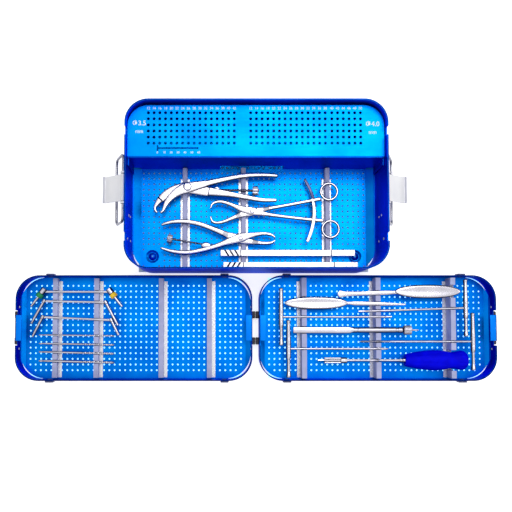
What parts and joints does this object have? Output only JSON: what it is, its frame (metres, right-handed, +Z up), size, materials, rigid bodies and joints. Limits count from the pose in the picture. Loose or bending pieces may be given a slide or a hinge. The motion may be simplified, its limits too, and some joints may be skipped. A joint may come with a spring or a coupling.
{
  "type": "instrument tray set",
  "caption": "Blue anodised orthopaedic instrument set: deep case with a screw rack, and two shallow lift-out trays of drills, guides, drivers and elevators.",
  "frame": {"origin": "middle of the whole set's footprint, on the table", "axes": "+X along the case's length, towards its right end; +Y towards the back of the case, behind the screw rack; +Z up"},
  "size_m": [0.7364, 0.411, 0.1],
  "materials": {
    "blue_anodised": "satin",
    "aluminium_bright": "satin",
    "silicone_grey": "matte",
    "rubber_dark": "matte",
    "stainless_plain": "satin",
    "instrument_steel": "polished",
    "collar_plastic": "satin",
    "handle_silicone": "matte"
  },
  "bodies": {
    "case": {"case_wall": "blue_anodised", "case_floor": "blue_anodised", "case_feet": "rubber_dark", "rack_plate": "blue_anodised", "rack_apron": "blue_anodised", "latch_brackets": "stainless_plain", "case_fasteners": "stainless_plain", "case_bracket_bases": "aluminium_bright", "case_bracket_strips": "silicone_grey"},
    "bail_left": {"bail_left": "stainless_plain"},
    "bail_right": {"bail_right": "stainless_plain"},
    "latch_left": {"latch_left": "stainless_plain"},
    "latch_right": {"latch_right": "stainless_plain"},
    "left_tray": {"left_tray_wall": "blue_anodised", "left_tray_floor": "blue_anodised", "left_tray_bracket_bases": "aluminium_bright", "left_tray_strips": "silicone_grey", "left_tray_bumpers": "rubber_dark", "left_tray_lugs": "stainless_plain"},
    "right_tray": {"right_tray_wall": "blue_anodised", "right_tray_floor": "blue_anodised", "right_tray_bracket_bases": "aluminium_bright", "right_tray_strips": "silicone_grey", "right_tray_bumpers": "rubber_dark", "right_tray_lugs": "stainless_plain"},
    "twist_drills": {"twist_drills": "instrument_steel"},
    "drill_guide_large": {"drill_guide_large": "instrument_steel", "guide_collars": "collar_plastic"},
    "drill_guide_medium": {"drill_guide_medium": "instrument_steel"},
    "drill_guide_small": {"drill_guide_small": "instrument_steel"},
    "hex_driver": {"hex_driver_handle": "instrument_steel", "hex_driver_shaft": "instrument_steel"},
    "countersink": {"countersink_handle": "instrument_steel", "countersink_shaft": "instrument_steel"},
    "long_driver": {"long_driver_handle": "instrument_steel", "long_driver_shaft": "instrument_steel"},
    "bone_tap": {"bone_tap_handle": "instrument_steel", "bone_tap_shaft": "instrument_steel"},
    "broad_elevator": {"broad_elevator": "instrument_steel"},
    "narrow_elevator": {"narrow_elevator": "instrument_steel"},
    "depth_gauge_body": {"depth_gauge_body": "instrument_steel"},
    "depth_gauge_probe": {"depth_gauge_probe": "instrument_steel"},
    "screwdriver": {"screwdriver_handle": "handle_silicone", "screwdriver_shaft": "instrument_steel"},
    "holding_sleeve": {"holding_sleeve": "instrument_steel"},
    "bone_forceps": {"bone_forceps_fixed_half": "instrument_steel", "bone_forceps_pivot": "instrument_steel"},
    "bone_forceps_jaw": {"bone_forceps_moving_half": "instrument_steel"},
    "bone_forceps_spindle": {"bone_forceps_spindle": "instrument_steel"},
    "bone_forceps_nut": {"bone_forceps_nut": "instrument_steel"},
    "reduction_forceps": {"reduction_forceps_fixed_half": "instrument_steel", "reduction_forceps_pivot": "instrument_steel"},
    "reduction_forceps_jaw": {"reduction_forceps_moving_half": "instrument_steel"},
    "small_forceps": {"small_forceps_fixed_half": "instrument_steel", "small_forceps_pivot": "instrument_steel"},
    "small_forceps_jaw": {"small_forceps_moving_half": "instrument_steel"},
    "small_forceps_spindle": {"small_forceps_spindle": "instrument_steel"},
    "small_forceps_nut": {"small_forceps_nut": "instrument_steel"},
    "bending_iron_rear": {"bending_iron_rear": "instrument_steel"},
    "bending_iron_front": {"bending_iron_front": "instrument_steel"}
  },
  "joints": [
    {"name": "bail_right_swing", "type": "hinge", "parent": "case", "child": "bail_right", "pos_m": [0.193, 0.0835, 0.066], "axis": [0, -1, 0], "range_deg": [0, 150]},
    {"name": "bail_left_swing", "type": "hinge", "parent": "case", "child": "bail_left", "pos_m": [-0.197, 0.0835, 0.066], "axis": [0, 1, 0], "range_deg": [0, 150]},
    {"name": "latch_right_swing", "type": "hinge", "parent": "case", "child": "latch_right", "pos_m": [0.193, 0.0835, 0.066], "axis": [0, -1, 0], "range_deg": [0, 126]},
    {"name": "latch_left_swing", "type": "hinge", "parent": "case", "child": "latch_left", "pos_m": [-0.197, 0.0835, 0.066], "axis": [0, 1, 0], "range_deg": [0, 126]},
    {"name": "left_tray_lift", "type": "slide", "parent": "case", "child": "left_tray", "axis": [0, 0, 1], "range_m": [0, 0.1]},
    {"name": "right_tray_lift", "type": "slide", "parent": "case", "child": "right_tray", "axis": [0, 0, 1], "range_m": [0, 0.1]},
    {"name": "twist_drills_lift", "type": "slide", "parent": "left_tray", "child": "twist_drills", "axis": [0, 0, 1], "range_m": [0, 0.06]},
    {"name": "drill_guide_large_lift", "type": "slide", "parent": "left_tray", "child": "drill_guide_large", "axis": [0, 0, 1], "range_m": [0, 0.06]},
    {"name": "drill_guide_medium_lift", "type": "slide", "parent": "left_tray", "child": "drill_guide_medium", "axis": [0, 0, 1], "range_m": [0, 0.06]},
    {"name": "drill_guide_small_lift", "type": "slide", "parent": "left_tray", "child": "drill_guide_small", "axis": [0, 0, 1], "range_m": [0, 0.06]},
    {"name": "hex_driver_lift", "type": "slide", "parent": "right_tray", "child": "hex_driver", "axis": [0, 0, 1], "range_m": [0, 0.06]},
    {"name": "countersink_lift", "type": "slide", "parent": "right_tray", "child": "countersink", "axis": [0, 0, 1], "range_m": [0, 0.06]},
    {"name": "long_driver_lift", "type": "slide", "parent": "right_tray", "child": "long_driver", "axis": [0, 0, 1], "range_m": [0, 0.06]},
    {"name": "bone_tap_lift", "type": "slide", "parent": "right_tray", "child": "bone_tap", "axis": [0, 0, 1], "range_m": [0, 0.06]},
    {"name": "broad_elevator_lift", "type": "slide", "parent": "right_tray", "child": "broad_elevator", "axis": [0, 0, 1], "range_m": [0, 0.06]},
    {"name": "narrow_elevator_lift", "type": "slide", "parent": "right_tray", "child": "narrow_elevator", "axis": [0, 0, 1], "range_m": [0, 0.06]},
    {"name": "depth_gauge_lift", "type": "slide", "parent": "right_tray", "child": "depth_gauge_body", "axis": [0, 0, 1], "range_m": [0, 0.06]},
    {"name": "depth_gauge_probe_slide", "type": "slide", "parent": "depth_gauge_body", "child": "depth_gauge_probe", "axis": [1, 0, 0], "range_m": [0, 0.045]},
    {"name": "screwdriver_lift", "type": "slide", "parent": "right_tray", "child": "screwdriver", "axis": [0, 0, 1], "range_m": [0, 0.06]},
    {"name": "holding_sleeve_slide", "type": "slide", "parent": "screwdriver", "child": "holding_sleeve", "axis": [1, 0, 0], "range_m": [0, 0.018]},
    {"name": "bone_forceps_lift", "type": "slide", "parent": "case", "child": "bone_forceps", "axis": [0, 0, 1], "range_m": [0, 0.12]},
    {"name": "bone_forceps_jaw_swing", "type": "hinge", "parent": "bone_forceps", "child": "bone_forceps_jaw", "pos_m": [-0.1039, 0.0922, 0.0247], "axis": [0, 0, 1], "range_deg": [-1, 4]},
    {"name": "bone_forceps_spindle_swing", "type": "hinge", "parent": "bone_forceps", "child": "bone_forceps_spindle", "pos_m": [-0.059, 0.0876, 0.0247], "axis": [0, 0, 1], "range_deg": [0, 8]},
    {"name": "bone_forceps_nut_turn", "type": "hinge", "parent": "bone_forceps_spindle", "child": "bone_forceps_nut", "pos_m": [-0.0001, 0.08665, 0.0247], "axis": [0.9999, -0.0155, 0], "range_deg": [-180, 180]},
    {"name": "reduction_forceps_lift", "type": "slide", "parent": "case", "child": "reduction_forceps", "axis": [0, 0, 1], "range_m": [0, 0.12]},
    {"name": "reduction_forceps_jaw_swing", "type": "hinge", "parent": "reduction_forceps", "child": "reduction_forceps_jaw", "pos_m": [-0.005, 0.055, 0.0232], "axis": [0, 0, 1], "range_deg": [-2, 5]},
    {"name": "small_forceps_lift", "type": "slide", "parent": "case", "child": "small_forceps", "axis": [0, 0, 1], "range_m": [0, 0.12]},
    {"name": "small_forceps_jaw_swing", "type": "hinge", "parent": "small_forceps", "child": "small_forceps_jaw", "pos_m": [-0.023, 0.0134, 0.0237], "axis": [0, 0, 1], "range_deg": [-4, 1]},
    {"name": "small_forceps_spindle_swing", "type": "hinge", "parent": "small_forceps", "child": "small_forceps_spindle", "pos_m": [-0.0755, 0.0036, 0.0237], "axis": [0, 0, 1], "range_deg": [-6, 0]},
    {"name": "small_forceps_nut_turn", "type": "hinge", "parent": "small_forceps_spindle", "child": "small_forceps_nut", "pos_m": [-0.131, 0.01285, 0.0237], "axis": [-0.9864, 0.1644, 0], "range_deg": [-180, 180]},
    {"name": "bending_iron_rear_lift", "type": "slide", "parent": "case", "child": "bending_iron_rear", "axis": [0, 0, 1], "range_m": [0, 0.12]},
    {"name": "bending_iron_front_lift", "type": "slide", "parent": "case", "child": "bending_iron_front", "axis": [0, 0, 1], "range_m": [0, 0.12]}
  ]
}
